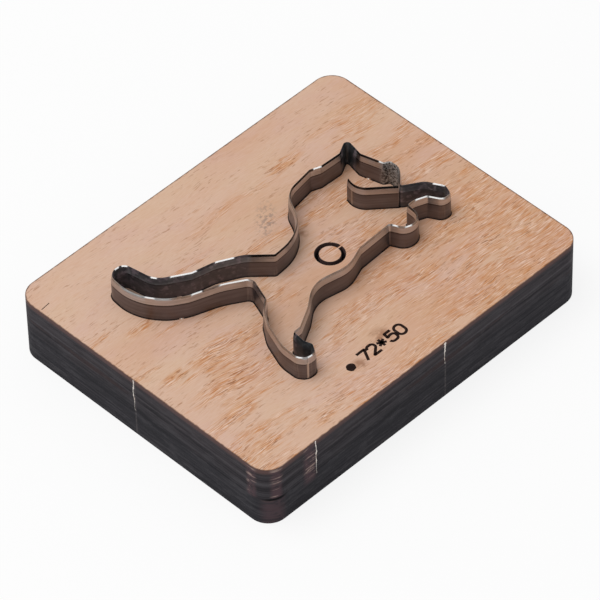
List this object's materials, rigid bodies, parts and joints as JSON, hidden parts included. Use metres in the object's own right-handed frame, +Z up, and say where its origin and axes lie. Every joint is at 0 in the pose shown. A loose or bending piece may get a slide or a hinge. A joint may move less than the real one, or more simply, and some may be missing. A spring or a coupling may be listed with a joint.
{
  "type": "steel rule die",
  "caption": "Steel rule die: bent cutting rule in the outline of a leaping animal, pressed into a laser-cut plywood board with rounded corners.",
  "frame": {"origin": "middle of the board's underside", "axes": "+X along the board's long side, toward the head of the cut shape; +Z up, toward the cutting edge"},
  "size_m": [0.1, 0.079, 0.0238],
  "materials": {
    "plywood": "sanded veneer face, laser-charred edges",
    "rule_steel": "dark tempered strip with a bright honed edge"
  },
  "bodies": {
    "root": {"die_board": "plywood", "outline_rule": "rule_steel", "slit_rule": "rule_steel"}
  },
  "joints": []
}
